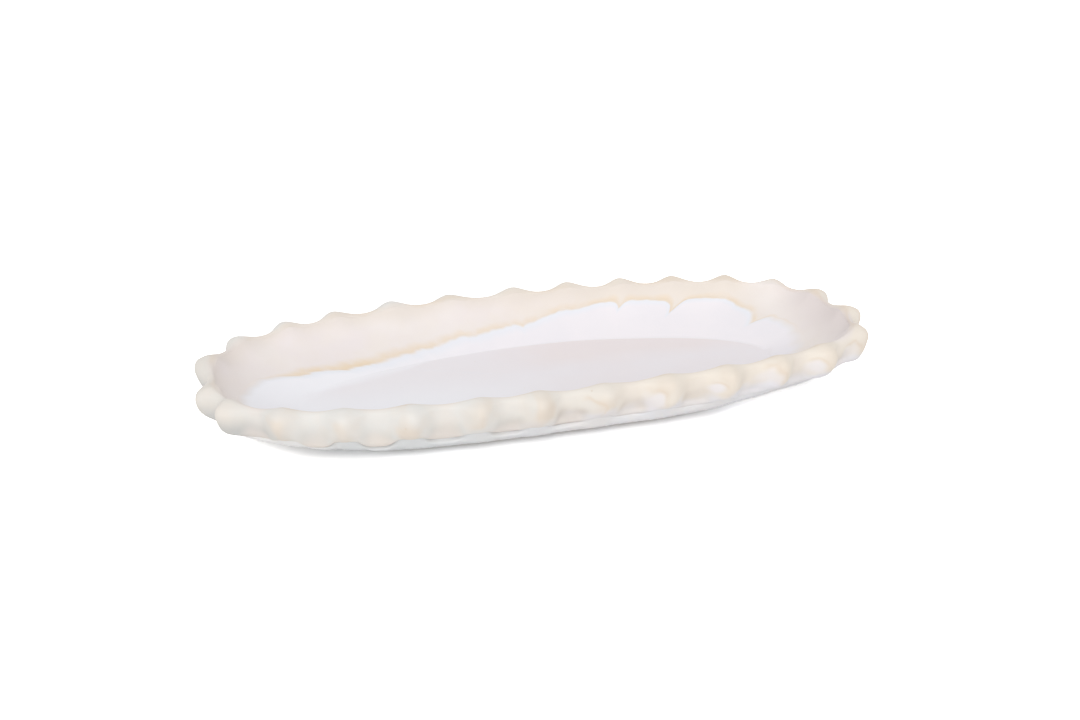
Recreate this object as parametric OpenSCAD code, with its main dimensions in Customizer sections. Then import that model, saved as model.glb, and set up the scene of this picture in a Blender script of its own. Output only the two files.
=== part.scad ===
// Oval serving dish for asparagus: a slab of stoneware with a flared wall,
// a thick strip of clay pressed round its edge into ridges and thumb scoops,
// a bare foot ring underneath and a pool of white glaze in the well.
// Millimetres. X runs along the dish, Z is up, the table is at Z = 0.

/* [Dish] */
// Length between the inner edges of the rim
well_l = 373; // [330:1:410]
// Width between the inner edges of the rim
well_w = 149; // [135:1:165]
// Height of the rim above the table, at the bottom of a scoop
rim_h = 31.8; // [28:0.2:38]
// Squareness of the rim's outline, where 2 is an ellipse and more is squarer
rim_power = 2.8; // [2.2:0.1:3.4]
// How much lower the rim lies at the two ends than in the middle
end_drop = 2; // [0:0.5:4]
// Thickness of the clay wall at its top, under the strip
wall_t = 2.6; // [2:0.1:3.4]

/* [Floor] */
// Thickness of the clay floor
floor_t = 4.2; // [3:0.2:6]
// Distance from the rim's inner edge in to the floor's edge, at the two ends
floor_inset_end = 44; // [38:0.5:54]
// Distance from the rim's inner edge in to the floor's edge, at the long sides
floor_inset_side = 24.5; // [20:0.5:32]
// Squareness of the floor's outline, where less than 2 draws its ends to a point
floor_power = 1.8; // [1.7:0.1:2.4]

/* [Foot ring] */
// Height of the foot ring
foot_h = 2.2; // [1.4:0.2:3]
// Width of the foot ring's flat face
foot_ring_w = 5.5; // [4:0.5:9]
// Distance from the rim's inner edge in to the foot ring, at the two ends
foot_inset_end = 21.6; // [18:0.2:28]
// Distance from the rim's inner edge in to the foot ring, at the long sides
foot_inset_side = 13.8; // [12:0.2:18]
// Squareness of the foot ring's outline
foot_power = 2.8; // [2.2:0.1:3.4]

/* [Underside] */
// How far the flat underside goes on past the foot ring
sole_margin = 1.6; // [1:0.2:3]
// How far the lower edge of the body stands out past the foot ring
belly_out = 4.5; // [3.5:0.1:6]
// Height of that lower edge above the flat underside
belly_rise = 0.6; // [0.2:0.1:1.2]
// Height above the table of the ledge below the strip
ledge_z = 9.4; // [8:0.1:10]
// Distance from the rim's inner edge in to that ledge
ledge_inset = 1.4; // [0.8:0.1:2.2]

/* [Crimped strip] */
// Number of pressed ridges round the rim
ridge_count = 27; // [23:1:31]
// Height of a ridge's top above the rim in the scoops
ridge_rise = 3; // [1:0.1:5]
// How far a ridge stands out from the clay wall's top
ridge_out = 10.7; // [8:0.1:13]
// Thickness of the strip outside the clay wall's top, at the bottom of a scoop
scoop_out = 1.6; // [1.2:0.1:3.5]
// Thickness of the strip where it laps over the top of the clay wall
lap_t = 1.8; // [1.2:0.1:2.6]
// Depth over which a ridge's top rounds down to its widest point
ridge_round = 5.6; // [3.5:0.1:7]
// Depth over which the rim in a scoop rounds down to its widest point
scoop_round = 2.9; // [1.5:0.1:4]
// Height above the table of the strip's flat lower edge
strip_z = 10.2; // [10.2:0.1:12]
// Height above that edge at which the strip turns under
lip_rise = 2.6; // [1.6:0.1:4]
// How far the lower end of a ridge stands out from the rim's inner edge
heel_out = 7.5; // [5:0.1:10]
// How far the lower end of a scoop stands out from the rim's inner edge
lip_out = 0.8; // [0:0.1:2]
// Distance from the rim's inner edge in to the crease under the strip
crease_inset = 2.6; // [2.4:0.1:3.4]
// Width of the flat that the strip stands on
seat_w = 1.9; // [1.2:0.1:3]

/* [White glaze] */
// Thickness of the white glaze pooled in the well
pool_t = 0.7; // [0.4:0.1:1.2]

/* [Hidden] */

// Stations from one ridge to the next, and steps in which the rim's length is summed
per_ridge = 8;
walk_steps = 720;
// Points on each edge of the foot ring
foot_points = 144;

// Where the first ridge lies, as a share of the way round, starting from the far end of X
first_ridge_share = -0.013;
// How much each ridge is off its even place, as a share of the even spacing, counter-clockwise
ridge_shift_shares = [0.05, 0.1, -0.05, -0.15, -0.15, -0.15, -0.1, -0.05, 0.2, 0.3, 0.35, 0.25, 0.2, 0.05,
  0.35, -0.05, -0.2, -0.2, -0.2, -0.15, -0.2, -0.15, -0.05, 0, 0, -0.05, 0.15];
// How far each ridge stands out and up, as a share of a full ridge
ridge_size_shares = [1.06, 0.98, 0.94, 1, 0.96, 1.02, 0.97, 1, 0.95, 1.02, 0.98, 1, 0.97, 1,
  1, 1.02, 1, 0.96, 1.02, 0.98, 1.03, 0.96, 1, 1.02, 0.95, 1, 0.99];
// How far each ridge's lower end stands out, as a share of a full one
heel_shares = [1, 1, 0.95, 1, 0.9, 1, 1, 0.95, 1, 1, 0.95, 1, 0.9, 0.8,
  0.45, 1, 0.95, 1, 1, 0.9, 1, 0.95, 1, 1, 0.9, 1, 1];
// Width of the rise along the rim at a ridge's crest, as a share of its flank
crest_share = 0.29;
// How narrow the ridges stand out between the scoops, where more is narrower
pinch_share = 1.5;
// The strip's top from inside out: share of its reach, and share of its rounding's depth
crown_shares = [[0.12, 0.18], [0.32, 0], [0.7, 0.2], [0.93, 0.6], [1, 1]];
// The strip's side from its widest point down: share of the way down, and share of the way in
side_shares = [[0.35, 0.05], [0.72, 0.4], [1, 1]];

// How much of the wall's slope is straight; the rest curves up from the floor
straight_share = 0.25;
// Height of the white glaze's edge at each ridge, as a share of the wall's height
tide_shares = [0.37, 0.45, 0.52, 0.71, 0.68, 0.74, 0.61, 0.44, 0.33, 0.23, 0.16, 0.15, 0.24, 0.43,
  0.54, 0.5, 0.42, 0.36, 0.32, 0.3, 0.33, 0.37, 0.4, 0.38, 0.4, 0.42, 0.37];
// Runs of cream glaze over the white: ridge number with a share of the spacing, and depth down the wall
run_shares = [[1.6, 0.18], [3.7, 0.24], [4.95, 0.18], [6.95, 0.08], [17.6, 0.08], [21.4, 0.1], [24.5, 0.12]];
// Half width of a run, as a share of the ridge spacing
run_width_share = 0.22;
// Where the rings between the floor and the white glaze's edge lie, as shares of that edge's height
shore_shares = [0.3, 0.65];
// How far the white glaze stands in and up at the floor's edge, on the wall and at its own edge
pool_floor_shares = [0.3, 1];
pool_wall_shares = [0.6, 0.8];
pool_edge_shares = [0.3, 0.4];
// The belly between its lower edge and the ledge: share of the way out, and share of the way up
belly_shares = [0.62, 0.48];

// Heights and reaches that follow from the sizes above
floor_z = foot_h + floor_t;
belly_z = foot_h + belly_rise;
lip_z = strip_z + lip_rise;
scoop_reach = wall_t + scoop_out;
ridge_reach = wall_t + ridge_out;
ridge_lift = ridge_reach - scoop_reach;
heel_lift = heel_out - lip_out;
mid_l = well_l + ridge_reach;
mid_w = well_w + ridge_reach;
stations = ridge_count * per_ridge;

// A point on a rounded outline of length l and width w, at angle t
function oval(t, l, w, power) =
  let (r = pow(pow(abs(cos(t)), power) + pow(abs(sin(t)), power), -1 / power))
  [l / 2 * r * cos(t), w / 2 * r * sin(t)];

function mix(a, b, share) = a + (b - a) * share;

// The outline is walked once, so that ridges can be spaced by length along the rim
walk_points = [for (i = [0 : walk_steps]) oval(i * 360 / walk_steps, mid_l, mid_w, rim_power)];
walk_sums = [for (i = 0, s = 0; i <= walk_steps;
  s = s + (i < walk_steps ? norm(walk_points[i + 1] - walk_points[i]) : 0), i = i + 1) s];
walk_table = [for (i = [0 : walk_steps]) [walk_sums[i] / walk_sums[walk_steps], i * 360 / walk_steps]];

function ridge_shift(k) = ridge_shift_shares[(k % ridge_count) % len(ridge_shift_shares)];
function ridge_place(k) = first_ridge_share + (k + ridge_shift(k)) / ridge_count;
function ridge_size(k) = ridge_size_shares[(k % ridge_count) % len(ridge_size_shares)];
function heel_size(k) = heel_shares[(k % ridge_count) % len(heel_shares)];

// A station's ridge number, its share of the way to the next ridge, and its angle on the outline
function ridge_of(i) = floor(i / per_ridge);
function part_of(i) = i / per_ridge - ridge_of(i);
function angle_of(i) =
  let (s = mix(ridge_place(ridge_of(i)), ridge_place(ridge_of(i) + 1), part_of(i)))
  lookup(s - floor(s), walk_table);
angles = [for (i = [0 : stations - 1]) angle_of(i)];

// How much of a ridge a station has, upwards and outwards: 1 at its crest and 0 at a scoop's bottom
function rise_at(i) =
  let (s = sin(180 * part_of(i)), flat = crest_share)
  1 - (sqrt(s * s + flat * flat) - flat) / (sqrt(1 + flat * flat) - flat);
function swell_at(i) = pow((1 + cos(360 * part_of(i))) / 2, pinch_share);
function nearest(i) = part_of(i) < 0.5 ? ridge_of(i) : ridge_of(i) + 1;
swells = [for (i = [0 : stations - 1]) swell_at(i)];

// The rim's inner edge at each station, and the direction straight out from it
rim_points = [for (t = angles) oval(t, well_l, well_w, rim_power)];
outward = [for (t = angles)
  let (d = oval(t + 0.5, well_l, well_w, rim_power) - oval(t - 0.5, well_l, well_w, rim_power))
  [d[1], -d[0]] / norm(d)];
floor_points = [for (t = angles)
  oval(t, well_l - 2 * floor_inset_end, well_w - 2 * floor_inset_side, floor_power)];
foot_edge = [for (t = angles)
  oval(t, well_l - 2 * foot_inset_end, well_w - 2 * foot_inset_side, foot_power)];

// Heights along the rim
sag = [for (p = rim_points) end_drop * pow(2 * p[0] / well_l, 2)];
top_z = [for (i = [0 : stations - 1]) rim_h + ridge_rise * rise_at(i) * ridge_size(nearest(i)) - sag[i]];
wide_z = [for (i = [0 : stations - 1]) top_z[i] - mix(scoop_round, ridge_round, swells[i])];
wall_top_z = [for (z = top_z) z - lap_t];

// How far the strip stands out from the rim's inner edge, at its widest and at its lower end
reach = [for (i = [0 : stations - 1]) scoop_reach + ridge_lift * swells[i] * ridge_size(nearest(i))];
heel = [for (i = [0 : stations - 1]) lip_out + heel_lift * swells[i] * heel_size(nearest(i))];

// A ring of points at a distance out from the rim's inner edge
function at_rim(out, z) = [for (i = [0 : stations - 1])
  let (p = rim_points[i] + outward[i] * (is_list(out) ? out[i] : out))
  [p[0], p[1], is_list(z) ? z[i] : z]];
// A ring of points at a distance out from the foot ring
function at_foot(out, z) = [for (i = [0 : stations - 1])
  let (p = foot_edge[i] + outward[i] * out) [p[0], p[1], z]];

// The inside of the wall at a share of its height: it curves up smoothly from the floor to the rim
function wall_out(h) = straight_share * h + (1 - straight_share) * (1 - (1 - h) * (1 - h));
function at_wall(h) = [for (i = [0 : stations - 1])
  let (p = mix(floor_points[i], rim_points[i], wall_out(h[i])))
  [p[0], p[1], mix(floor_z, rim_h - lap_t - sag[i], h[i])]];

// Height of the white glaze's edge: a smooth tide line with narrow runs down through it
function ridges_apart(a, b) = abs((a - b + 1.5 * ridge_count) % ridge_count - ridge_count / 2);
function run_depth(u) = max([for (r = run_shares)
  r[1] * max(0, 1 - ridges_apart(u, r[0]) / run_width_share)]);
function tide_at(k) = tide_shares[(k % ridge_count) % len(tide_shares)];
function tide(i) =
  mix(tide_at(ridge_of(i)), tide_at(ridge_of(i) + 1), part_of(i)) - run_depth(i / per_ridge);
shore = [for (i = [0 : stations - 1]) tide(i)];

// Rings that the body shares with the pieces that lie on it
floor_ring = [for (p = floor_points) [p[0], p[1], floor_z]];
shore_rings = [for (s = shore_shares) at_wall(shore * s)];
tide_ring = at_wall(shore);
wall_top_in = at_rim(0, wall_top_z);
wall_top_out = at_rim(wall_t, wall_top_z);
seat_ring = at_rim(-crease_inset - seat_w, strip_z);
crease_ring = at_rim(-crease_inset, strip_z);
belly_ring = at_foot(belly_out, belly_z);
ledge_ring = at_rim(-ledge_inset, ledge_z);
belly_mid_ring = [for (i = [0 : stations - 1])
  let (low = belly_ring[i], high = ledge_ring[i], out = mix(low, high, belly_shares[0]))
  [out[0], out[1], mix(belly_z, ledge_z, belly_shares[1])]];

// The widest ring sets the middle of the dish, so that the origin is under the centre of its box
tip_ring = at_rim(reach, wide_z);
function middle(values) = (max(values) + min(values)) / 2;
centre = [middle([for (p = tip_ring) p[0]]), middle([for (p = tip_ring) p[1]])];

// Faces between one ring and the next; turned bands use the other diagonal, to match a neighbour
function band(a, b, n, turned) = [for (i = [0 : n - 1], half = [0, 1])
  let (j = (i + 1) % n)
  turned ? (half == 0 ? [a + i, b + j, b + i] : [a + i, a + j, b + j])
         : (half == 0 ? [a + i, a + j, b + i] : [a + j, b + j, b + i])];

// A solid skinned over rings, from a cap on the first ring to a cap on the last
module capped(rings, turned_from) {
  n = len(rings[0]);
  last = len(rings) - 1;
  polyhedron(
    points = [for (r = rings) each r],
    faces = [
      [for (i = [n - 1 : -1 : 0]) i],
      for (j = [0 : last - 1]) each band(j * n, (j + 1) * n, n, j >= turned_from),
      [for (i = [0 : n - 1]) last * n + i]
    ],
    convexity = 6
  );
}

// A solid skinned over rings, with the last ring joined to the first
module looped(rings, turned_from) {
  n = len(rings[0]);
  count = len(rings);
  polyhedron(
    points = [for (r = rings) each r],
    faces = [for (j = [0 : count - 1]) each band(j * n, (j + 1) % count * n, n, j >= turned_from)],
    convexity = 6
  );
}

// Moves the outline's middle over the origin
module centred() {
  translate([-centre[0], -centre[1], 0]) children();
}

// The clay slab: flat floor, curved wall and the belly under it
module dish_body() {
  rings = [
    floor_ring,
    each shore_rings,
    tide_ring,
    at_wall(mix(shore, [for (s = shore) 1], 0.5)),
    wall_top_in,
    wall_top_out,
    seat_ring,
    crease_ring,
    ledge_ring,
    belly_mid_ring,
    belly_ring,
    at_foot(sole_margin, foot_h)
  ];
  color([0.92, 0.89, 0.85]) centred() capped(rings, len(rings));
}

// The strip of clay that laps over the wall's top, pressed into ridges and scoops
module crimped_rim() {
  crown = [for (c = crown_shares)
    at_rim(reach * c[0], [for (i = [0 : stations - 1]) mix(top_z[i], wide_z[i], c[1])])];
  side = [for (c = side_shares)
    at_rim(mix(reach, heel, c[1]), [for (z = wide_z) mix(z, lip_z, c[0])])];
  rings = [wall_top_in, each crown, each side, crease_ring, seat_ring, wall_top_out];
  color([0.90, 0.86, 0.80]) centred() looped(rings, len(rings) - 3);
}

// The white glaze pooled on the floor and part way up the wall
module white_glaze() {
  function lifted(ring, shares) = [for (i = [0 : stations - 1])
    let (p = ring[i], in = outward[i] * pool_t * shares[0])
    [p[0] - in[0], p[1] - in[1], p[2] + pool_t * shares[1]]];
  rings = [
    lifted(floor_ring, pool_floor_shares),
    for (r = shore_rings) lifted(r, pool_wall_shares),
    lifted(tide_ring, pool_edge_shares),
    tide_ring,
    for (j = [len(shore_rings) - 1 : -1 : 0]) shore_rings[j],
    floor_ring
  ];
  color([0.95, 0.95, 0.97]) centred() capped(rings, len(shore_rings) + 2);
}

// The bare ring that the dish stands on
module foot_ring() {
  function edge(inset) = [for (i = [0 : foot_points - 1]) oval(i * 360 / foot_points,
    well_l - 2 * (foot_inset_end + inset), well_w - 2 * (foot_inset_side + inset), foot_power)];
  color([0.80, 0.72, 0.62]) centred() linear_extrude(foot_h) difference() {
    polygon(edge(0));
    polygon(edge(foot_ring_w));
  }
}

dish_body();
crimped_rim();
white_glaze();
foot_ring();
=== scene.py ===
"""Looks of the oval crimped serving dish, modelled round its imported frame.

Shapes are worked out in millimetres, in rings of points round the dish, and become meshes in metres.
"""

import bpy
import numpy as np
from mathutils import Matrix, Vector


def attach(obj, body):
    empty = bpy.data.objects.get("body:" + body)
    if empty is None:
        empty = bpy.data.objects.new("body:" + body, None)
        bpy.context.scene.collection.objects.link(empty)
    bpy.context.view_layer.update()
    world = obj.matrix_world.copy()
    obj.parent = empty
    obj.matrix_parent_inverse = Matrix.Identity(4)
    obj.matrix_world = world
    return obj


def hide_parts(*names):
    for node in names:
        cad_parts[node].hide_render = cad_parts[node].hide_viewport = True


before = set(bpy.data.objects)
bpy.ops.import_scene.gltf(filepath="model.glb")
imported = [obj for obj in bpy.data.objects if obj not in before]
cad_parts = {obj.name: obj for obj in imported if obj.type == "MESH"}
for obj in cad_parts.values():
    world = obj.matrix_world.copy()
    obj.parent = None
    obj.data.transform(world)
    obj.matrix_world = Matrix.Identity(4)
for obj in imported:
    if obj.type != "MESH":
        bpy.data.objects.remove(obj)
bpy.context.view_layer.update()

MM = 0.001

# The dish's driving sizes, in millimetres, as the frame was built with
WELL_L, WELL_W = 373, 149
RIM_H, RIM_POWER, END_DROP = 31.8, 2.8, 2
WALL_T = 2.6
FLOOR_Z, FLOOR_POWER = 6.4, 1.8
FLOOR_INSET_END, FLOOR_INSET_SIDE = 44, 24.5
FOOT_H, FOOT_RING_W, FOOT_POWER = 2.2, 5.5, 2.8
FOOT_INSET_END, FOOT_INSET_SIDE = 21.6, 13.8
SOLE_MARGIN, BELLY_OUT, BELLY_RISE = 1.6, 4.5, 0.6
LEDGE_Z, LEDGE_INSET = 9.4, 1.4
RIDGE_RISE, RIDGE_OUT, SCOOP_OUT, LAP_T = 3, 10.7, 1.6, 1.8
RIDGE_ROUND, SCOOP_ROUND = 5.6, 2.9
STRIP_Z, LIP_RISE, HEEL_OUT, LIP_OUT = 10.2, 2.6, 7.5, 0.8
CREASE_INSET, SEAT_W = 2.6, 1.9
POOL_T = 0.7

# Where the ridges lie and how big each is, as shares, counter-clockwise from the far end of X
RIDGE_COUNT = 27
FIRST_RIDGE_SHARE = -0.013
RIDGE_SHIFT_SHARES = np.array([
    0.05, 0.1, -0.05, -0.15, -0.15, -0.15, -0.1, -0.05, 0.2, 0.3, 0.35, 0.25, 0.2, 0.05,
    0.35, -0.05, -0.12, -0.2, -0.2, -0.15, -0.2, -0.15, -0.05, 0, 0, -0.05, 0.15])
RIDGE_SIZE_SHARES = np.array([
    1.06, 0.98, 0.94, 1, 0.96, 1.02, 0.97, 1, 0.95, 1.02, 0.98, 1, 0.97, 1,
    1, 1.02, 1, 0.96, 1.02, 0.98, 1.03, 0.96, 1, 1.02, 0.95, 1, 0.99])
HEEL_SHARES = np.array([
    1, 1, 0.95, 1, 0.9, 1, 1, 0.95, 1, 1, 0.95, 1, 0.9, 0.8,
    0.45, 1, 0.95, 1, 1, 0.9, 1, 0.95, 1, 1, 0.9, 1, 1.25])
# How much less the last ridge stands out than its node does
LAST_RIDGE_LESS_SHARE = 0.2
# How round a ridge's crest is, and the power by which the ridge narrows towards its scoops
CREST_SHARE, PINCH_SHARE = 0.29, 1.5
# The strip from its top to its widest point: share of the way out, and share of the way down; then from
# there to its lower edge: share of the way down, and share of the way in
CROWN_SHARES = [(0.12, 0.18), (0.32, 0), (0.7, 0.2), (0.93, 0.6), (1, 1)]
SIDE_SHARES = [(0.35, 0.05), (0.72, 0.4), (1, 1)]
# How much of the wall's slope is straight; the rest curves up from the floor
STRAIGHT_SHARE = 0.25

# Height of the white glaze's edge at each ridge, as a share of the wall's height
TIDE_SHARES = np.array([
    0.37, 0.45, 0.52, 0.71, 0.68, 0.74, 0.61, 0.44, 0.33, 0.23, 0.16, 0.15, 0.24, 0.46,
    0.64, 0.53, 0.42, 0.36, 0.32, 0.3, 0.33, 0.37, 0.4, 0.38, 0.4, 0.42, 0.37])
# Runs of cream glaze over the white: ridge number, depth, and how wide it is before and after its tip; then
# the power by which a run narrows
RUN_SHARES = [
    (1.53, 0.18, 0.26, 0.75), (3.76, 0.27, 0.2, 0.36), (4.97, 0.17, 0.22, 0.22), (6.95, 0.07, 0.12, 0.12),
    (17.6, 0.08, 0.15, 0.15), (21.4, 0.1, 0.2, 0.2), (24.5, 0.12, 0.2, 0.2)]
RUN_POWER = 2.2
# White glaze pooled on a ridge's flank: ridge number, how far down the strip its top is, its half width and
# height in millimetres, and how white it is
FLANK_POOLS = [
    (20.8, 0.06, 6, 15, 0.15), (21.78, 0.02, 6, 14, 0.75), (22.78, 0.16, 4.5, 5, 0.8),
    (23.8, -0.08, 8, 12, 0.65), (24.76, 0.07, 7, 8, 0.75), (25.68, 0.15, 6, 10, 0.4),
    (2.82, 0.4, 5, 8, 0.6), (5.8, 0.5, 5, 6, 0.7), (7.2, 0.6, 6, 7, 0.5), (9.85, 0.55, 5, 8, 0.6)]
# Strength of the golden line over the white glaze's edge, at each ridge
GOLD_SHARES = np.array([
    0, 0.25, 0.7, 0.8, 0.8, 0.7, 0.65, 0.6, 0.6, 0.75, 0.85, 1.15, 1, 0.05,
    0, 0.3, 0.5, 0.6, 0.7, 0.6, 0.5, 0.6, 0.7, 0.6, 0.5, 0.3, 0])
# Width over which the white glaze fades out at its edge, at each ridge, in millimetres
FADE_MM = np.array([
    9, 5, 1.6, 1.2, 1, 1, 1.2, 1.5, 1.8, 2, 2, 1.5, 2, 5,
    8, 5, 3, 2, 2, 1.6, 1.5, 1.5, 1.5, 2, 2, 4, 8])
# How far in over the floor the white reaches at the far left, free of the floor's painted shade, as a share
# of the floor
FLOOR_WHITE_SHARE = 0.1
# How deep the white glaze's underside is sunk in the clay, in millimetres
POOL_SUNK_MM = 0.12
# How far the strip hangs down in the scoop after each ridge, in millimetres
HANG_MM = np.array([
    1, 1, 0.5, 0.2, 1, 0, 1.4, 0.5, 1, 0.2, 1.8, 1, 1, 1.2,
    0.5, -1, 2.5, 3.2, 1.4, 0.8, 0, -0.5, -0.6, -1, -0.5, 0, 0.5])
# How full of glaze the crease under the strip is, in the scoop after each ridge
FILL_SHARES = np.array([
    0.7, 0.5, 0.4, 0.5, 0.3, 0.6, 0.2, 0.3, 0.5, 0.2, 0.3, 0.1, 0.2, 0.2,
    0.1, 0, 0, 0, 0.1, 0.1, 0.3, 0.75, 0.85, 0.9, 0.9, 1, 0.9])
# How far the strip's lower edge is drawn up behind each ridge, in millimetres
DRAWN_UP_MM = np.array([
    0.5, 1, 1.5, 2, 2.5, 2, 2.5, 1.5, 2, 2.5, 2, 1.5, 1, 0.5,
    0.5, 1.2, 3.2, 3, 2.8, 2.6, 2.6, 2.8, 2.6, 2.4, 2.2, 1.5, -1])
# How much white glaze covers the strip's lower part, at each ridge
PALE_SHARES = np.array([
    0.8, 0.6, 0.5, 0.4, 0.3, 0.35, 0.4, 0.3, 0.2, 0.2, 0.3, 0.2, 0.1, 0.1,
    0, 0, 0, 0.05, 0.1, 0.15, 0.35, 0.7, 0.8, 0.85, 0.9, 0.9, 0.8])
# Depth of the thumb's print in the scoop after each ridge, in millimetres, and how far down the strip it
# starts
PRINT_MM = np.array([
    0.9, 0.8, 1.1, 0.8, 1, 0.9, 1.2, 0.8, 1, 1.1, 0.8, 1, 0.9, 0.8,
    0.6, 0.6, 0.8, 1.2, 2.4, 1.9, 2.3, 1.8, 1.8, 1.4, 1, 0.8, 0.8])
PRINT_TOP_SHARES = np.full(RIDGE_COUNT, 0.25)
PRINT_TOP_SHARES[[19, 20]] = 0.4, 0.28
# How much painted shade darkens the lower part of the scoop after each ridge
SCOOP_SHADE_SHARES = np.array([
    0.4, 0.45, 0.5, 0.4, 0.5, 0.45, 0.45, 0.5, 0.4, 0.45, 0.5, 0.4, 0.45, 0.4,
    0.4, 0.4, 0.45, 0.45, 0.45, 0.55, 0.95, 0.65, 0.5, 0.15, 0.3, 0.4, 0.4])
# How much the glaze breaks to beige along each ridge's crest
BREAK_SHARES = np.array([
    0.7, 1, 0.8, 0.6, 0.7, 0.5, 0.8, 0.6, 0.5, 0.6, 0.5, 0.45, 0.4, 0.3,
    0.4, 0.1, 0.8, 0.8, 1, 0.7, 0.9, 0.7, 0.5, 0.5, 0.6, 0.5, 0.5])

# How far the foot and the belly are drawn in at the dish's four rounder corners, in millimetres, and the
# share of that at its two tips
DRAWN_IN_MM, DRAWN_IN_TIP_SHARE = 7, 0.35
# Each tip's ridge number, and how many ridges from it the foot runs true again
TIPS = [(-0.05, 4.9), (13.55, 4.3)]
# At those corners, how far the belly is lifted and is drawn in further than the foot, and how far the ledge
# is drawn in, in millimetres
BELLY_LIFT_MM, BELLY_IN_MM, LEDGE_IN_MM = 1, 1.5, 1.8

# Where the one pinhole that shows on the near side is
PINHOLE_MM = (-100, -82, 24)

# A hand-made dish is never quite true: how far one slow warp moves every piece alike, and how uneven the
# pressed side of the strip is, in millimetres
WARP_MM, UNEVEN_MM = 0.35, 0.3

# How finely the shapes are cut
PER_RIDGE = 34
STATIONS = RIDGE_COUNT * PER_RIDGE
WALK_STEPS = 1440
MID_L, MID_W = WELL_L + WALL_T + RIDGE_OUT, WELL_W + WALL_T + RIDGE_OUT
# Length of the rim from one ridge to the next, in millimetres
SPACING = 36


def mix(a, b, share):
    return a + (b - a) * share


def smooth(low, high, value):
    """0 below low, 1 above high, and a soft step between them."""
    t = np.clip((value - low) / (high - low), 0, 1)
    return t * t * (3 - 2 * t)


def oval(angle, length, width, power):
    """Points on a rounded outline: power 2 is an ellipse, and more is squarer."""
    c, s = np.cos(angle), np.sin(angle)
    r = (np.abs(c) ** power + np.abs(s) ** power) ** (-1 / power)
    return np.stack([length / 2 * r * c, width / 2 * r * s], axis=-1)


def angles_at(shares):
    """Angles on the rim's outline at shares of its length."""
    angle = np.linspace(0, 2 * np.pi, WALK_STEPS + 1)
    points = oval(angle, MID_L, MID_W, RIM_POWER)
    sums = np.append(0, np.cumsum(np.linalg.norm(np.diff(points, axis=0), axis=1)))
    return np.interp(shares % 1, sums / sums[-1], angle)


def around(u, shares):
    """A share at each ridge, blended smoothly to the places u between ridges."""
    k = np.floor(u).astype(int)
    f = smooth(0, 1, u - k)
    return mix(shares[k % RIDGE_COUNT], shares[(k + 1) % RIDGE_COUNT], f)


def ridges_apart(u, place):
    """How far the places u are from one place round the rim, in ridges, with its sign."""
    return (u - place + 1.5 * RIDGE_COUNT) % RIDGE_COUNT - RIDGE_COUNT / 2


def waves(seed, length, count=14):
    """A smooth random field of points in space, about -1 to 1, with waves of about that length."""
    rng = np.random.default_rng(seed)
    ways = rng.normal(size=(count, 3))
    per_mm = 2 * np.pi / (length * rng.uniform(0.7, 1.5, (count, 1)))
    ways *= per_mm / np.linalg.norm(ways, axis=1, keepdims=True)
    starts = rng.uniform(0, 2 * np.pi, count)

    def field(points):
        return np.sin(points @ ways.T + starts).sum(-1) / np.sqrt(count / 2) / 1.6
    return field


# Stations round the rim: u is the place in ridges, k the ridge before it, f the share of the way to the next
# ridge, and near the nearest ridge
u = np.arange(STATIONS) / PER_RIDGE
k = np.floor(u).astype(int)
f = u - k
shifts = np.append(RIDGE_SHIFT_SHARES, RIDGE_SHIFT_SHARES[0])
ridge_places = FIRST_RIDGE_SHARE + (np.arange(RIDGE_COUNT + 1) + shifts) / RIDGE_COUNT
near = np.where(f < 0.5, k, k + 1) % RIDGE_COUNT
angle = angles_at(mix(ridge_places[k], ridge_places[k + 1], f))

rim_points = oval(angle, WELL_L, WELL_W, RIM_POWER)
half_degree = np.radians(0.5)
ahead, behind = (oval(angle + turn, WELL_L, WELL_W, RIM_POWER) for turn in (half_degree, -half_degree))
along = ahead - behind
outward = np.stack([along[:, 1], -along[:, 0]], axis=-1) / np.linalg.norm(along, axis=1, keepdims=True)
floor_edge = oval(angle, WELL_L - 2 * FLOOR_INSET_END, WELL_W - 2 * FLOOR_INSET_SIDE, FLOOR_POWER)
corner = np.zeros(STATIONS)
for place, reach_ridges in TIPS:
    from_tip = np.abs(ridges_apart(u, place))
    past_tip = mix(DRAWN_IN_TIP_SHARE, 1, smooth(0, 1.1, from_tip))
    corner += past_tip * smooth(reach_ridges, reach_ridges / 2, from_tip)
drawn_in = DRAWN_IN_MM * corner
foot_edge = oval(angle, WELL_L - 2 * FOOT_INSET_END, WELL_W - 2 * FOOT_INSET_SIDE, FOOT_POWER)
foot_edge -= outward * drawn_in[:, None]

# The rim sags towards the dish's ends. A ridge rises at its crest and stands out by its swell, and a scoop
# lies in the basin between two ridges
sag = END_DROP * (2 * rim_points[:, 0] / WELL_L) ** 2
crest = np.sqrt(np.sin(np.pi * f) ** 2 + CREST_SHARE ** 2)
rise = 1 - (crest - CREST_SHARE) / (np.sqrt(1 + CREST_SHARE ** 2) - CREST_SHARE)
swell = ((1 + np.cos(2 * np.pi * f)) / 2) ** PINCH_SHARE
basin = np.sin(np.pi * f) ** 2
ridge_size = RIDGE_SIZE_SHARES[near] - LAST_RIDGE_LESS_SHARE * (near == RIDGE_COUNT - 1)
top_z = RIM_H + RIDGE_RISE * rise * RIDGE_SIZE_SHARES[near] - sag
wide_z = top_z - mix(SCOOP_ROUND, RIDGE_ROUND, swell)
scoop_reach, ridge_reach = WALL_T + SCOOP_OUT, WALL_T + RIDGE_OUT
reach = scoop_reach + (ridge_reach - scoop_reach) * swell * ridge_size
heel = LIP_OUT + (HEEL_OUT - LIP_OUT) * swell * HEEL_SHARES[near] * np.minimum(ridge_size, 1)

# The dish's middle, which the frame puts over the origin
widest = rim_points + outward * reach[:, None]
centre = np.append((widest.max(0) + widest.min(0)) / 2, 0)

warp_fields = [waves(seed, 75) for seed in (11, 12, 13)]


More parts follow.
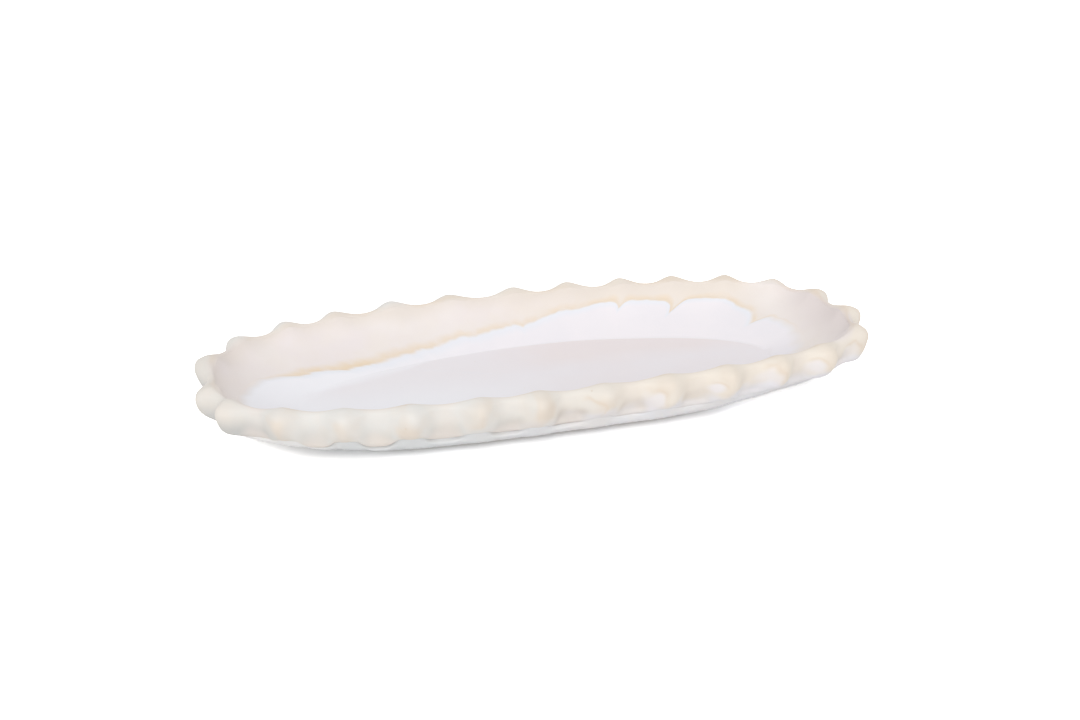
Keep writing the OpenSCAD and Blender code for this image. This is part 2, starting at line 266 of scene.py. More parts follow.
def warped(points):
    """The points moved by the slow warp, which leaves the foot flat."""
    share = smooth(0, 12, points[..., 2])
    return points + WARP_MM * share[..., None] * np.stack([w(points) for w in warp_fields], axis=-1)


def ring(flat_points, z):
    return np.column_stack([flat_points, np.broadcast_to(z, len(flat_points))])


def at_rim(out, z):
    """A ring of points at a distance out from the rim's inner edge."""
    return ring(rim_points + outward * np.broadcast_to(out, STATIONS)[:, None], z)


def at_foot(out, z):
    """A ring of points at a distance out from the foot ring."""
    return ring(foot_edge + outward * np.broadcast_to(out, STATIONS)[:, None], z)


def curved(controls, steps):
    """Rings along a smooth curve through the given rings, with a number of steps in each span."""
    p = np.stack(controls)
    span = np.linalg.norm(np.diff(p, axis=0), axis=-1, keepdims=True) + 1e-9
    speed = np.diff(p, axis=0) / span
    inner = (speed[:-1] * span[1:] + speed[1:] * span[:-1]) / (span[:-1] + span[1:])
    m = np.concatenate([speed[:1], inner, speed[-1:]])
    made = []
    for i, count in enumerate(steps):
        for t in np.arange(count) / count:
            made.append((2 * t ** 3 - 3 * t ** 2 + 1) * p[i] + (3 * t ** 2 - 2 * t ** 3) * p[i + 1]
                        + ((t ** 3 - 2 * t ** 2 + t) * m[i] + (t ** 3 - t ** 2) * m[i + 1]) * span[i])
    return made + [p[-1]]


def mesh_object(name, rings, masks, closed=False):
    """A solid skinned over rings: closed on itself, or with a cap on its first and last ring."""
    count, n = len(rings), len(rings[0])
    points = (warped(np.concatenate(rings)) - centre) * MM
    rows = np.arange(count if closed else count - 1)[:, None]
    cols = np.arange(n)[None, :]
    low, high, after = rows * n, (rows + 1) % count * n, (cols + 1) % n
    quads = np.stack([low + cols, low + after, high + after, high + cols], axis=-1).reshape(-1, 4)
    faces = quads.tolist()
    if not closed:
        faces += [list(range(n - 1, -1, -1)), list(range((count - 1) * n, count * n))]
    mesh = bpy.data.meshes.new(name)
    mesh.from_pydata(points.tolist(), [], faces)
    mesh.shade_smooth()
    for mask, values in masks.items():
        layer = mesh.attributes.new(mask, "FLOAT", "POINT")
        layer.data.foreach_set("value", np.concatenate(values).astype(np.float32))
    made = bpy.data.objects.new(name, mesh)
    bpy.context.scene.collection.objects.link(made)
    return made


def wall_at(h):
    """A ring on the inside of the wall at a share of its height, up to the uneven rim."""
    out = STRAIGHT_SHARE * h + (1 - STRAIGHT_SHARE) * (1 - (1 - h) ** 2)
    flat = mix(floor_edge, rim_points, np.broadcast_to(out, STATIONS)[:, None])
    lift = (top_z - RIM_H + sag) * smooth(0.55, 1, np.broadcast_to(h, STATIONS))
    return ring(flat, mix(FLOOR_Z, RIM_H - LAP_T - sag, h) + lift)


# Height of the white glaze's edge, a little ragged, with runs of cream glaze down through it
run_depth = np.zeros(STATIONS)
for place, depth, before, after in RUN_SHARES:
    apart = ridges_apart(u, place)
    narrowing = np.clip(1 - np.where(apart < 0, -apart / before, apart / after), 0, 1)
    run_depth = np.maximum(run_depth, depth * narrowing ** RUN_POWER)
flat_rim = np.pad(rim_points, ((0, 0), (0, 1)))
ragged = 0.012 * waves(31, 13)(flat_rim) + 0.006 * waves(32, 5)(flat_rim)
tide = around(u, TIDE_SHARES) - run_depth + ragged

# How far up the wall one share of its height is, in millimetres, at each station
wall_length = np.hypot(np.linalg.norm(rim_points - floor_edge, axis=1), RIM_H - LAP_T - FLOOR_Z)

# The strip's lower edge hangs down in each scoop, and glaze fills the crease under it in places
hang = HANG_MM[k] * smooth(0.25, 1, basin)
scoop_fill = around(u - 0.5, FILL_SHARES)
fill = np.maximum(scoop_fill, 0.8 * smooth(0.25, 0.8, swell))
drawn_up = around(u, DRAWN_UP_MM) * smooth(0.1, 0.9, swell)
lip_z = STRIP_Z + LIP_RISE - 1.1 * hang + drawn_up
crease_z = STRIP_Z - hang + 0.7 * fill + 0.9 * drawn_up
open_out, full_out = -CREASE_INSET - 0.25 * np.maximum(hang, 0), 0.3 * (heel - LIP_OUT) - 0.1
crease_out = mix(open_out, full_out, fill) + 0.4 * drawn_up
notch = mix(0.6, 0.05, fill)


def strip_rings():
    """The strip's visible side, inner edge to crease: its rings, their outline and how far down they are."""
    controls = [(np.zeros(STATIONS), top_z - LAP_T)]
    controls += [(reach * a, mix(top_z, wide_z, b)) for a, b in CROWN_SHARES]
    controls += [(mix(reach, heel, b), mix(wide_z, lip_z, a)) for a, b in SIDE_SHARES]
    controls.append((crease_out, crease_z))
    outline = np.array(curved([np.stack(c, axis=-1) for c in controls], [2, 4, 5, 5, 5, 8, 8, 6, 5]))
    down = (wide_z - outline[..., 1]) / (wide_z - lip_z)
    thumb = smooth(0.25, 0.85, basin) * smooth(0, 0.7, down - PRINT_TOP_SHARES[k])
    thumb *= (1 - 0.4 * smooth(0.95, 1.3, down)) * (1 - scoop_fill * smooth(0.85, 1.1, down))
    outline[..., 0] -= PRINT_MM[k] * thumb
    rings = np.stack([at_rim(o[:, 0], o[:, 1]) for o in outline])
    loose = smooth(-0.3, 0.1, down) * (1 - smooth(0.85, 1.05, down))
    outline[..., 0] += UNEVEN_MM * waves(41, 15)(rings) * loose
    return [at_rim(o[:, 0], o[:, 1]) for o in outline], outline, down


def clay_dish():
    """The slab: inner wall, hidden seat of the strip, ledge, belly and sole."""
    shares = np.linspace(0, 1, 30)
    inner = [wall_at(h) for h in shares]
    inner.insert(-1, mix(inner[-2], inner[-1], 0.97))
    shares = np.insert(shares, -1, 0.999)
    seam = at_rim(0, top_z - LAP_T)
    tuck = at_rim(0.05, top_z - LAP_T + 0.03)
    hidden = [at_rim(0.5, top_z - LAP_T), at_rim(WALL_T - 0.3, top_z - LAP_T - 0.3),
              at_rim(-CREASE_INSET - SEAT_W, STRIP_Z)]
    crease = at_rim(crease_out - notch, crease_z + notch / 3)
    belly_z = FOOT_H + BELLY_RISE + BELLY_LIFT_MM * corner
    belly = at_foot(BELLY_OUT - BELLY_IN_MM * corner, belly_z)
    ledge_z = np.minimum(LEDGE_Z, crease_z - 0.8)
    ledge_out = mix(-LEDGE_INSET, -0.7, fill) - 0.45 * (LEDGE_Z - ledge_z) + 0.3 * drawn_up
    ledge = at_rim(ledge_out - LEDGE_IN_MM * corner, ledge_z)
    middle = mix(belly, ledge, 0.76)
    middle[:, 2] = mix(belly_z, ledge_z, 0.47)
    sole = at_foot(SOLE_MARGIN, FOOT_H)
    brow = mix(at_rim(crease_out, crease_z), ledge, 0.55)
    outside = curved([crease, brow, ledge, middle, belly, sole], [3, 3, 8, 7, 5])
    under = [sole, at_foot(-1, FOOT_H)]
    rings = inner[:-1] + [seam, tuck] + hidden + outside[:-1] + under
    unseen = len(rings) - len(shares) - 1
    far_mm = 60 * np.ones(STATIONS)
    edge = [(h - tide) * wall_length for h in shares]
    top = [smooth(0.66, 1, h + 0.1 * waves(27, 30)(flat_rim)) for h in shares]
    nothing, everything = np.zeros(STATIONS), np.ones(STATIONS)
    return mesh_object("clay_dish", rings, {
        "edge_mm": edge + [edge[-1]] + [far_mm] * unseen,
        "outside": [nothing] * (len(shares) + 1) + [everything] * unseen,
        "top": top + [everything] * (unseen + 1),
        "gold": [around(u, GOLD_SHARES)] * len(rings)})


def flank_pools(down, points):
    """Where white glaze has pooled on the ridges' flanks, and the lip of glaze above and right of it."""
    wobble = 0.2 * waves(21, 8)(points)
    pool, lip = np.zeros_like(down), np.zeros_like(down)
    for place, top, half_width, height, white in FLANK_POOLS:
        across = ridges_apart(u, place) * SPACING / half_width
        along = (down - top) * (wide_z - lip_z) / (height / 2) - 1
        along = np.where(along > 0, 0.65 * along, along)
        distance = np.hypot(across, along) + wobble
        toward = (0.6 * across - 0.8 * along) / np.maximum(distance, 0.1)
        pool = np.maximum(pool, white * (1 - smooth(0.35, 1.25, distance)))
        lip = np.maximum(lip, np.exp(-((distance - 1.05) / 0.2) ** 2) * smooth(0, 0.9, toward))
    return pool, lip


def pressed_strip():
    """The strip of clay lapped over the wall, pressed into ridges and thumb scoops."""
    rings, outline, down = strip_rings()
    hidden = [at_rim(-CREASE_INSET - SEAT_W, STRIP_Z), at_rim(WALL_T, top_z - LAP_T)]
    rings.insert(1, mix(rings[0], rings[1], 0.03))
    outline = np.insert(outline, 1, outline[0], axis=0)
    down = np.insert(down, 1, down[0], axis=0)
    points = np.stack(rings)
    pool, lip = flank_pools(down, points)
    crest_mm = np.abs(ridges_apart(u, np.round(u))) * SPACING + 3 * waves(22, 14)(points)
    patches = waves(23, 26)(points)
    broken = (1 - smooth(1.5, 8, crest_mm)) * smooth(-0.7, 0.4, patches) * smooth(-0.85, 0.1, down)
    broken *= BREAK_SHARES[near]
    # Painted shade in the lower part of each scoop
    scoop_shade = smooth(0.3, 0.8, basin) * smooth(0.2, 0.75, down + 0.07 * waves(26, 12)(points))
    scoop_shade *= SCOOP_SHADE_SHARES[k]
    from_line = (outline[..., 0] / reach - 0.2) / 0.14
    top_line = np.exp(-from_line ** 2) * smooth(-0.9, 0.6, patches) * (down < 0)
    top_line *= 1 - 0.7 * smooth(9, 10.5, u) * smooth(13.5, 12.5, u)  # fainter at the far left
    pale = around(u, PALE_SHARES) * smooth(0.5, 0.95, down + 0.18 * waves(24, 17)(points))
    pale *= 1 - 0.7 * scoop_shade
    masks = {
        "pool": pool, "lip": lip, "break": broken, "top_line": top_line, "pale": pale, "scoop_shade": scoop_shade,
        "low": smooth(0, 0.8, down),
        "inward": 1 - smooth(0, 5, outline[..., 0] + 1.2 * waves(25, 20)(points))}
    unseen = [np.zeros(STATIONS)] * 2
    return mesh_object("pressed_strip", rings + hidden, {
        name: list(values) + unseen for name, values in masks.items()}, closed=True)


def glaze_pool():
    """The white glaze: a skin over the floor and the lower wall that thins out at its edge."""
    inset = [0.06, 0.25, 0.45, 0.62, 0.74, 0.82, 0.85, 0.88, 0.9, 0.92, 0.94, 0.96, 0.985]
    floor = [ring(floor_edge * s, FLOOR_Z + POOL_T) for s in inset]
    rise_shares = np.insert(np.linspace(0, 1, 26), -1, 0.997)
    below = [(1 - s) * tide * wall_length for s in rise_shares]
    taper = 2.2 + 0.5 * around(u, FADE_MM)
    thick = [POOL_T * (1 - 0.97 * np.exp(-b / taper)) for b in below]

    def lifted(s, depth):
        """A ring at a share of the edge's height, that far off the wall."""
        made = wall_at(tide * s)
        steep = 0.55 + 0.4 * tide * s
        made[:, :2] -= outward * (depth * np.minimum(steep, 0.9))[:, None]
        made[:, 2] += depth * np.sqrt(1 - np.minimum(steep, 0.9) ** 2)
        return made

    top = [lifted(s, t) for s, t in zip(rise_shares, thick)]
    bend = curved([floor[-1], top[1], top[2]], [5, 4])
    top = floor[:-1] + bend + top[3:]
    bottom = [lifted(s, np.full(STATIONS, -POOL_SUNK_MM)) for s in (1, 0.8, 0.5, 0.25, 0.05)]
    bottom += [ring(floor_edge * s, FLOOR_Z - POOL_SUNK_MM) for s in (0.8, 0.4, 0.06)]
    rings = top + bottom
    # The floor's greyer white, which is painted shade, ends a little way up the wall, but short of it at the
    # far left
    blurred = smooth(-105, -150, rim_points[:, 0])
    up_wall = 0.02 + 0.05 * smooth(90, 125, rim_points[:, 0]) * (rim_points[:, 1] < 0)
    short = FLOOR_WHITE_SHARE * smooth(9, 10.5, u) * smooth(13.3, 12, u)
    on_floor = [smooth(-1, 1, (1 - short - s) / (0.012 + 0.06 * blurred)) for s in inset]
    on_floor = [np.maximum(g, short == 0) for g in on_floor]
    edges, floor_shades = [], []
    for i, r in enumerate(rings):
        h = np.clip((r[:, 2] - FLOOR_Z) / (RIM_H - LAP_T - FLOOR_Z - sag), 0, 1)
        edges.append((h - tide) * wall_length)
        on_wall = 1 - smooth(-0.5, 1.5, (h - up_wall) / (0.012 + 0.1 * blurred))
        floor_shades.append(on_floor[i] if i < len(floor) else on_wall * (1 - smooth(0, 0.03, short)))
    return mesh_object("glaze_pool", rings, {
        "edge_mm": edges, "floor_shade": floor_shades,
        "gold": [around(u, GOLD_SHARES)] * len(rings), "fade_mm": [around(u, FADE_MM)] * len(rings)})


def bare_foot():
    """The foot ring, with the soft corners that wiping leaves."""
    def edge(inset, z):
        length = WELL_L - 2 * (FOOT_INSET_END + inset)
        width = WELL_W - 2 * (FOOT_INSET_SIDE + inset)
        return ring(oval(angle, length, width, FOOT_POWER) - outward * drawn_in[:, None], z)

    soft, bevel = 0.55, 0.16
    side = [(0, FOOT_H), (0, soft), (bevel, bevel), (soft, 0), (FOOT_RING_W / 2, 0), (FOOT_RING_W - soft, 0),
            (FOOT_RING_W - bevel, bevel), (FOOT_RING_W, soft), (FOOT_RING_W, FOOT_H)]
    rings = [edge(inset, z) for inset, z in reversed(side)]
    return mesh_object("bare_foot", rings, {}, closed=True)


# Finishes
def srgb(red, green, blue):
    """A colour given as 0 to 255 display values, as the shader's linear values."""
    c = np.array([red, green, blue]) / 255
    linear = np.where(c <= 0.04045, c / 12.92, ((c + 0.055) / 1.055) ** 2.4)
    return (*linear.tolist(), 1.0)


class Nodes:
    """Adds nodes to a tree. Each call takes plain values or other nodes' sockets."""

    def __init__(self, tree):
        self.tree = tree

    def put(self, kind, feeds=None, **settings):
        node = self.tree.nodes.new(kind)
        for name, value in settings.items():
            setattr(node, name, value)
        for name, value in (feeds or {}).items():
            self.feed(node.inputs[name], value)
        return node

    def feed(self, socket, value):
        if isinstance(value, bpy.types.NodeSocket):
            self.tree.links.new(value, socket)
        else:
            socket.default_value = value

    def math(self, operation, a, b=0.0):
        return self.put("ShaderNodeMath", {0: a, 1: b}, operation=operation).outputs[0]

    def step(self, low, high, value, at_low=0.0, at_high=1.0):
        """A soft step from one result at low to another at high."""
        return self.put("ShaderNodeMapRange", {
            "Value": value, "From Min": low, "From Max": high, "To Min": at_low, "To Max": at_high},
            interpolation_type="SMOOTHSTEP").outputs["Result"]


class Finish(Nodes):
    """A new material's nodes. Its across and deep are the X and Y of the object's points, in metres."""

    def __init__(self, name):
        self.material = bpy.data.materials.new(name)
        self.material.use_nodes = True
        super().__init__(self.material.node_tree)
        self.shader = self.tree.nodes["Principled BSDF"]
        self.place = self.put("ShaderNodeTexCoord").outputs["Object"]
        parts = self.put("ShaderNodeSeparateXYZ", {"Vector": self.place}).outputs
        self.across, self.deep = parts["X"], parts["Y"]

    def mask(self, name):
        return self.put("ShaderNodeAttribute", attribute_name=name).outputs["Fac"]

    def noise(self, size_mm, detail=3, rough=0.55):
        """Noise from 0 to 1 with features of about that size."""
        return self.put("ShaderNodeTexNoise", {
            "Vector": self.place, "Scale": 1 / (size_mm * MM), "Detail": detail, "Roughness": rough
        }).outputs["Fac"]

    def blend(self, a, b, share, strength=None):
        """Colour a with colour b over it by a share, times a strength if one is given.

        The node's colours are its inputs 6 and 7 and its output 2.
        """
        if strength is not None:
            share = self.math("MULTIPLY", share, strength)
        return self.put("ShaderNodeMix", {"Factor": share, 6: a, 7: b}, data_type="RGBA").outputs[2]

    def pits(self, spacing_mm, size_mm, kept):
        """1 in the middle of scattered round pits, of which only a share is kept."""
        cells = self.put("ShaderNodeTexVoronoi", {"Vector": self.place, "Scale": 1 / (spacing_mm * MM)})
        chosen = self.math("LESS_THAN", self.put("ShaderNodeSeparateColor", {
            "Color": cells.outputs["Color"]}).outputs["Red"], kept)
        reach_share = size_mm / spacing_mm
        dot = self.step(reach_share, reach_share * 0.3, cells.outputs["Distance"])
        return self.math("MULTIPLY", dot, chosen)

    def spot(self, place_mm, radius_mm):
        """1 in the middle of one round spot."""
        middle = [c * MM for c in place_mm]
        away = self.put("ShaderNodeVectorMath", {0: self.place, 1: middle}, operation="DISTANCE")
        return self.step(radius_mm * MM, radius_mm * MM * 0.4, away.outputs["Value"])

    def finish(self, color, roughness, height, depth_mm):
        """Feeds the shader, with bumps of that depth."""
        bump = self.put("ShaderNodeBump", {"Height": height, "Distance": depth_mm * MM, "Strength": 1.0})
        self.feed(self.shader.inputs["Base Color"], color)
        self.feed(self.shader.inputs["Roughness"], roughness)
        self.feed(self.shader.inputs["Normal"], bump.outputs["Normal"])
        return self.material


CREAM = srgb(243, 236, 232)
CREAM_PINK = srgb(241, 233, 232)
CREAM_WARM = srgb(240, 230, 219)
BEIGE = srgb(234, 225, 215)
# Painted shade for the walls at the dish's two ends
SHADED = srgb(229, 220, 218)
GOLD = srgb(238, 219, 193)
BROWN = srgb(231, 215, 197)
WHITE = srgb(247, 243, 247)
LAVENDER = srgb(243, 240, 245)
WHITE_COOL = srgb(248, 249, 254)
# The well floor's colours: greyer than the white as painted shade, with the glaze's own pink and cool tones
FLOOR_SHADED_GREY = srgb(242, 238, 242)
FLOOR_PINK = srgb(242, 234, 235)
FLOOR_COOL = srgb(242, 239, 243)
ICE = srgb(238, 241, 248)
PALE = srgb(234, 233, 238)
BELLY_BLUE = srgb(235, 235, 238)
BELLY_CREAM = srgb(236, 232, 228)
BELLY_GREY = srgb(223, 226, 227)
BELLY_END = srgb(245, 244, 243)
RIM_GREY = srgb(233, 231, 227)
RIM_CREAM = srgb(240, 231, 219)
# Painted shade for the scoops, greyer to the left and warmer to the right
RIM_SCOOP_SHADE = srgb(213, 211, 206)
RIM_SCOOP_SHADE_WARM = srgb(211, 201, 192)
RIM_END = srgb(229, 224, 217)
# Painted shade for the undersides of the ridges at the far left end
RIM_UNDER_SHADE = srgb(207, 206, 203)
# The clay is darker than its own tone, as painted shade that deepens the dark line where the foot meets the
# floor
CLAY = srgb(155, 138, 118)
CLAY_DARK = srgb(134, 116, 97)
GRIT = srgb(120, 98, 78)


def glaze_height(paint):
    """The dimples and slow swells that every glaze here has."""
    dimples = paint.math("MULTIPLY", paint.noise(5, 1, 0.4), 0.1)
    swells = paint.math("MULTIPLY", paint.noise(18, 1, 0.4), 0.9)
    return paint.math("ADD", dimples, swells)


def clouds(paint, size_mm, share):
    """Soft patches of that size, from 0 to the given share."""
    return paint.math("MULTIPLY", paint.step(0.35, 0.7, paint.noise(size_mm, 3)), share)


def wall_color(paint, high):
    """Cream with pink and warm clouds, warmer to the right, beige high up, and painted shade at both ends."""
    color = paint.blend(CREAM, CREAM_PINK, clouds(paint, 38, 1.0))
    thin = paint.math("MULTIPLY", paint.step(0.164, 0.14, paint.across), 0.7)
    warm = paint.math("MULTIPLY", paint.step(-0.06, 0.06, paint.across), thin)
    color = paint.blend(color, CREAM_WARM, paint.math("ADD", warm, clouds(paint, 17, 0.25)))
    color = paint.blend(color, BEIGE, paint.math("MULTIPLY", high, thin))
    # Painted shade on the walls at the dish's two ends, stronger at the right
    color = paint.blend(color, SHADED, paint.step(0.16, 0.185, paint.across), 0.95)
    return paint.blend(color, SHADED, paint.step(-0.14, -0.2, paint.across), 0.45)


def cream_finish():
    """Satin cream on the wall, golden where it breaks over the white glaze, and paler below the strip."""
    paint = Finish("cream_glaze")
    edge, gold = paint.mask("edge_mm"), paint.mask("gold")
    near_line = paint.math("ADD", edge, paint.math("MULTIPLY", paint.noise(9, 2), 3.0))
    width = paint.math("ADD", paint.math("MULTIPLY", gold, 8.0), 1.0)
    line = paint.step(width, 1.0, near_line)
    line = paint.math("MULTIPLY", line, paint.step(0.2, 0.55, paint.noise(13, 2)))
    wall = paint.blend(wall_color(paint, paint.mask("top")), GOLD, paint.math("MULTIPLY", line, gold), 0.9)
    low = paint.blend(BELLY_BLUE, BELLY_CREAM, clouds(paint, 22, 0.6))
    low = paint.blend(low, BELLY_GREY, paint.step(0.02, -0.1, paint.across), 0.8)
    low = paint.blend(low, BELLY_END, paint.step(-0.125, -0.155, paint.across))
    color = paint.blend(wall, low, paint.mask("outside"))
    pits = paint.pits(18, 0.6, 0.2)
    color = paint.blend(color, BROWN, pits, 0.5)
    rough = paint.step(-0.8, 1.5, paint.noise(9, 3))
    height = paint.math("SUBTRACT", glaze_height(paint), pits)
    return paint.finish(color, rough, height, 0.12)


def rim_finish():
    """Cream that breaks to beige along the crests, with white glaze run down and pooled on some flanks,
    painted shade in the scoops, and painted shade under the ridges at the far left.
    """
    paint = Finish("rim_glaze")
    color = paint.blend(RIM_GREY, RIM_CREAM, paint.step(-0.08, 0.06, paint.across))
    color = paint.blend(color, RIM_END, paint.step(-0.16, -0.19, paint.across), 0.8)
    color = paint.blend(color, CREAM_WARM, clouds(paint, 15, 0.4))
    # Painted shade in the scoops, greyer to the left and warmer to the right
    shade = paint.blend(RIM_SCOOP_SHADE, RIM_SCOOP_SHADE_WARM, paint.step(-0.07, 0.0, paint.across))
    color = paint.blend(color, shade, paint.mask("scoop_shade"))
    # Painted shade on the lower parts of the ridges at the far left end
    under_shade = paint.math("MULTIPLY", paint.mask("low"), paint.step(-0.15, -0.18, paint.across))
    color = paint.blend(color, RIM_UNDER_SHADE, under_shade)
    color = paint.blend(color, wall_color(paint, 1.0), paint.mask("inward"))
    color = paint.blend(color, BROWN, paint.mask("top_line"), 0.6)
    color = paint.blend(color, BROWN, paint.mask("break"), 0.7)
    color = paint.blend(color, PALE, paint.mask("pale"))
    color = paint.blend(color, LAVENDER, paint.mask("pool"), 0.8)
    color = paint.blend(color, BROWN, paint.mask("lip"), 0.6)
    pits = paint.math("MAXIMUM", paint.pits(14, 0.7, 0.25), paint.spot(PINHOLE_MM, 0.8))
    color = paint.blend(color, BROWN, pits, 0.6)
    height = paint.math("SUBTRACT", glaze_height(paint), paint.math("MULTIPLY", pits, 1.2))
    rough = paint.step(-0.8, 1.5, paint.noise(9, 3))
    return paint.finish(color, rough, height, 0.14)


def white_finish():
    """Satin white in the well, greyer on the floor as painted shade, bluish and then golden towards its edge,
    with a few pinholes.
    """
    paint = Finish("white_glaze")
    edge, gold = paint.mask("edge_mm"), paint.mask("gold")
    color = paint.blend(WHITE, LAVENDER, clouds(paint, 45, 1.0))
    color = paint.blend(color, WHITE_COOL, paint.step(0.0, -0.13, paint.across), 0.8)
    pink = paint.math("MULTIPLY", paint.step(0.0, 0.03, paint.deep), paint.step(-0.03, 0.04, paint.across))
    # Painted shade: the well's floor is greyer than the wall, with the glaze's own pink and cool tones in it
    floor = paint.blend(FLOOR_SHADED_GREY, FLOOR_PINK, paint.math("ADD", pink, clouds(paint, 30, 0.3)))
    floor = paint.blend(floor, FLOOR_COOL, paint.step(0.0, -0.09, paint.across))
    cool = paint.math("MULTIPLY", paint.step(0.04, -0.09, paint.across), paint.step(0.03, -0.035, paint.deep))
    floor = paint.blend(floor, WHITE_COOL, cool)
    floor = paint.blend(floor, WHITE_COOL, paint.step(-0.11, -0.155, paint.across), 0.6)
    color = paint.blend(color, floor, paint.mask("floor_shade"))
    ragged = paint.math("ADD", edge, paint.math("MULTIPLY", paint.noise(10, 2), 1.5))
    color = paint.blend(color, ICE, paint.step(-6.5, -1, ragged), 0.8)
    fade = paint.step(paint.math("MULTIPLY", paint.mask("fade_mm"), -1.0), 0.6, ragged)
    color = paint.blend(color, wall_color(paint, 0.0), fade)
    line = paint.step(-1.4, 0.4, paint.math("ADD", edge, paint.math("MULTIPLY", paint.noise(4, 2), 0.8)))
    line = paint.math("MULTIPLY", line, paint.step(0.2, 0.55, paint.noise(13, 2)))
    color = paint.blend(color, GOLD, paint.math("MULTIPLY", line, gold), 0.9)
    pits = paint.pits(17, 0.6, 0.2)
    color = paint.blend(color, BROWN, pits, 0.4)
    height = paint.math("SUBTRACT", paint.noise(22, 1, 0.4), pits)
    rough = paint.step(-0.9, 1.6, paint.noise(12, 3))
    return paint.finish(color, rough, height, 0.05)


def clay_finish():
    """Unglazed stoneware, grainy and a little stained, and darker than its own tone as painted shade along
    the foot's contact line.
    """
    paint = Finish("bare_clay")
    color = paint.blend(CLAY, CLAY_DARK, paint.step(0.4, 0.65, paint.noise(9, 4)))
    grit = paint.pits(1.6, 0.5, 0.25)
    color = paint.blend(color, GRIT, grit, 0.7)
    height = paint.math("ADD", paint.noise(0.9, 4, 0.7), paint.math("MULTIPLY", grit, 0.5))
    return paint.finish(color, paint.step(-3, 1.5, paint.noise(4, 3)), height, 0.12)


# The pieces, each in place of its node
for made, node, slot, material in (
        (clay_dish(), "dish_body", "cream_glaze", cream_finish()),
        (pressed_strip(), "crimped_rim", "rim_glaze", rim_finish()),
        (glaze_pool(), "white_glaze", "white_glaze", white_finish()),
        (bare_foot(), "foot_ring", "bare_clay", clay_finish())):
    made.data.materials.append(material)
    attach(made, "root")
    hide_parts(node)


# The studio: how strong the world is as a light
WORLD_LIT = 0.69
# How pale the floor is to the light that it throws back, in reflections, and to the eye by the dish's middle
# and past its ends, where the photograph shows next to no shadow
FLOOR_LIT, FLOOR_MIRRORED, FLOOR_SHOWN, FLOOR_SHOWN_ENDS = 0.93, 1.13, 1.7, 2.7
# The X of that middle, and how far from it the floor starts to be paler and is at its palest, in metres
FLOOR_MIDDLE, FLOOR_PALER = -0.035, (0.105, 0.15)
# How far the floor reaches each way, in metres
FLOOR_REACH = 12.0


def soft_sun(name, azimuth, elevation, level, spread):
    """An even light from far away: level is what it adds to a white surface that faces it."""
    data = bpy.data.lights.new(name, "SUN")
    data.energy, data.angle = level * np.pi, np.radians(spread)
    made = bpy.data.objects.new(name, data)
    turn, lift = np.radians(azimuth), np.radians(elevation)
    towards = Vector((np.sin(turn) * np.cos(lift), -np.cos(turn) * np.cos(lift), np.sin(lift)))
    made.rotation_mode = "QUATERNION"
    made.rotation_quaternion = towards.to_track_quat("Z", "Y")
    bpy.context.scene.collection.objects.link(made)


def shown_white(world, lit_strength):
    """Makes a world white to the eye and in reflections, with that strength as a light."""
    nodes = Nodes(world.node_tree)
    rays = nodes.put("ShaderNodeLightPath").outputs
    seen = nodes.math("MAXIMUM", rays["Is Camera Ray"], rays["Is Glossy Ray"])
    seen = nodes.math("MAXIMUM", seen, rays["Is Transmission Ray"])
    strength = nodes.put("ShaderNodeMapRange", {"Value": seen, "To Min": lit_strength, "To Max": 1.0})
    background = nodes.tree.nodes["Background"].inputs
    nodes.feed(background["Strength"], strength.outputs["Result"])
    nodes.feed(background["Color"], (1, 1, 1, 1))


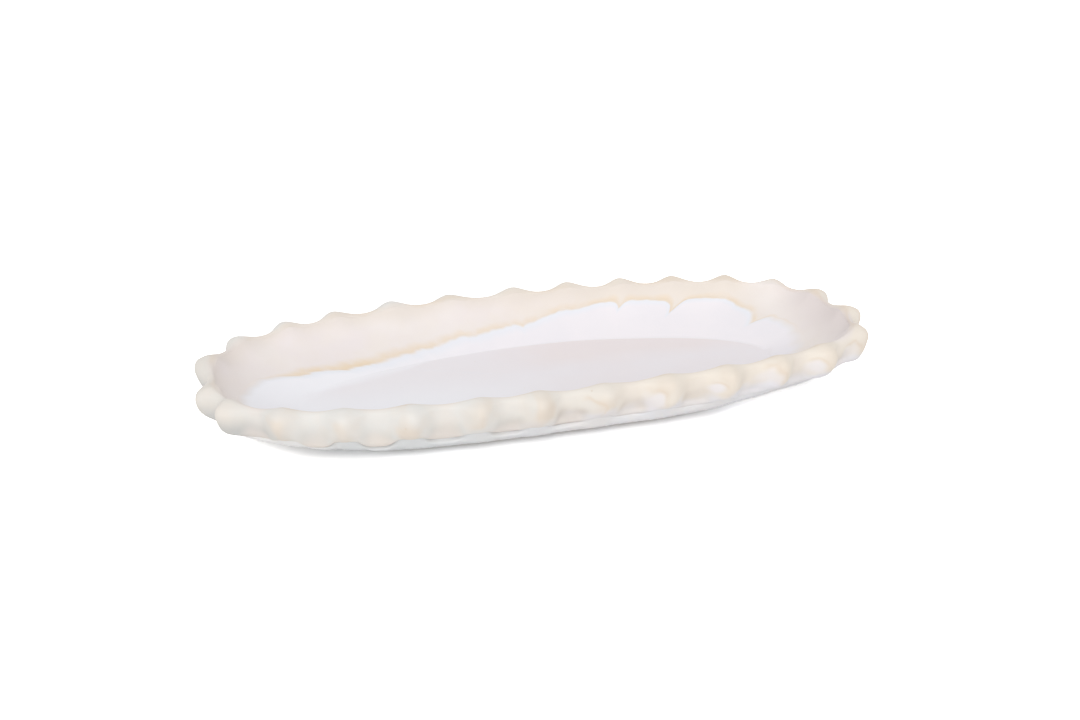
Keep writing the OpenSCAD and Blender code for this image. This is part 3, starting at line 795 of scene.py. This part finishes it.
def pale_floor():
    """A wide white floor, brighter to the eye, so that only the shadow close to the dish shows on it."""
    mesh = bpy.data.meshes.new("floor")
    corners = [(x * FLOOR_REACH, y * FLOOR_REACH, 0) for x, y in ((-1, -1), (1, -1), (1, 1), (-1, 1))]
    mesh.from_pydata(corners, [], [(0, 1, 2, 3)])
    made = bpy.data.objects.new("floor", mesh)
    bpy.context.scene.collection.objects.link(made)
    paint = Finish("pale_floor")
    paint.feed(paint.shader.inputs["Roughness"], 1.0)
    paint.feed(paint.shader.inputs["Specular IOR Level"], 0.0)
    rays = paint.put("ShaderNodeLightPath").outputs
    from_middle = paint.math("ABSOLUTE", paint.math("ADD", paint.across, -FLOOR_MIDDLE))
    shown = paint.step(*FLOOR_PALER, from_middle, FLOOR_SHOWN, FLOOR_SHOWN_ENDS)
    shown = paint.math("MULTIPLY", rays["Is Camera Ray"], shown)
    mirrored = paint.math("MAXIMUM", rays["Is Glossy Ray"], rays["Is Transmission Ray"])
    mirrored = paint.math("MULTIPLY", mirrored, FLOOR_MIRRORED)
    level = paint.math("MAXIMUM", paint.math("MAXIMUM", shown, mirrored), FLOOR_LIT)
    paint.feed(paint.shader.inputs["Base Color"], level)
    mesh.materials.append(paint.material)


world = bpy.data.worlds.new("studio")
world.use_nodes = True
bpy.context.scene.world = world
shown_white(world, WORLD_LIT)
pale_floor()
soft_sun("front_softbox", -24, 42, 0.25, 60)
soft_sun("low_softbox", -15, 12, 0.1, 40)

# The camera, from a fit of the rim, the foot and the ridges to the photograph
ELEVATION, TURN, ROLL = 0.392, 0.299, -0.003
DISTANCE, LENS, SENSOR_W = 807.05, 46.135, 36
AIM = np.array([-1.97, 0.61, 17.59])

forward = np.array([np.sin(TURN) * np.cos(ELEVATION), np.cos(TURN) * np.cos(ELEVATION), -np.sin(ELEVATION)])
sideways = np.array([np.cos(TURN), -np.sin(TURN), 0])
upright = np.cross(sideways, forward)
right = np.cos(ROLL) * sideways + np.sin(ROLL) * upright
up = np.cross(right, forward)
camera = bpy.data.objects.new("camera", bpy.data.cameras.new("camera"))
bpy.context.scene.collection.objects.link(camera)
camera.data.lens, camera.data.sensor_width = LENS, SENSOR_W
camera.data.clip_start, camera.data.clip_end = 0.01, 100
eye = (AIM - centre - forward * DISTANCE) * MM
camera.matrix_world = Matrix([
    (right[0], up[0], -forward[0], eye[0]),
    (right[1], up[1], -forward[1], eye[1]),
    (right[2], up[2], -forward[2], eye[2]),
    (0, 0, 0, 1)])
bpy.context.scene.camera = camera
bpy.context.scene.view_settings.view_transform = "Standard"
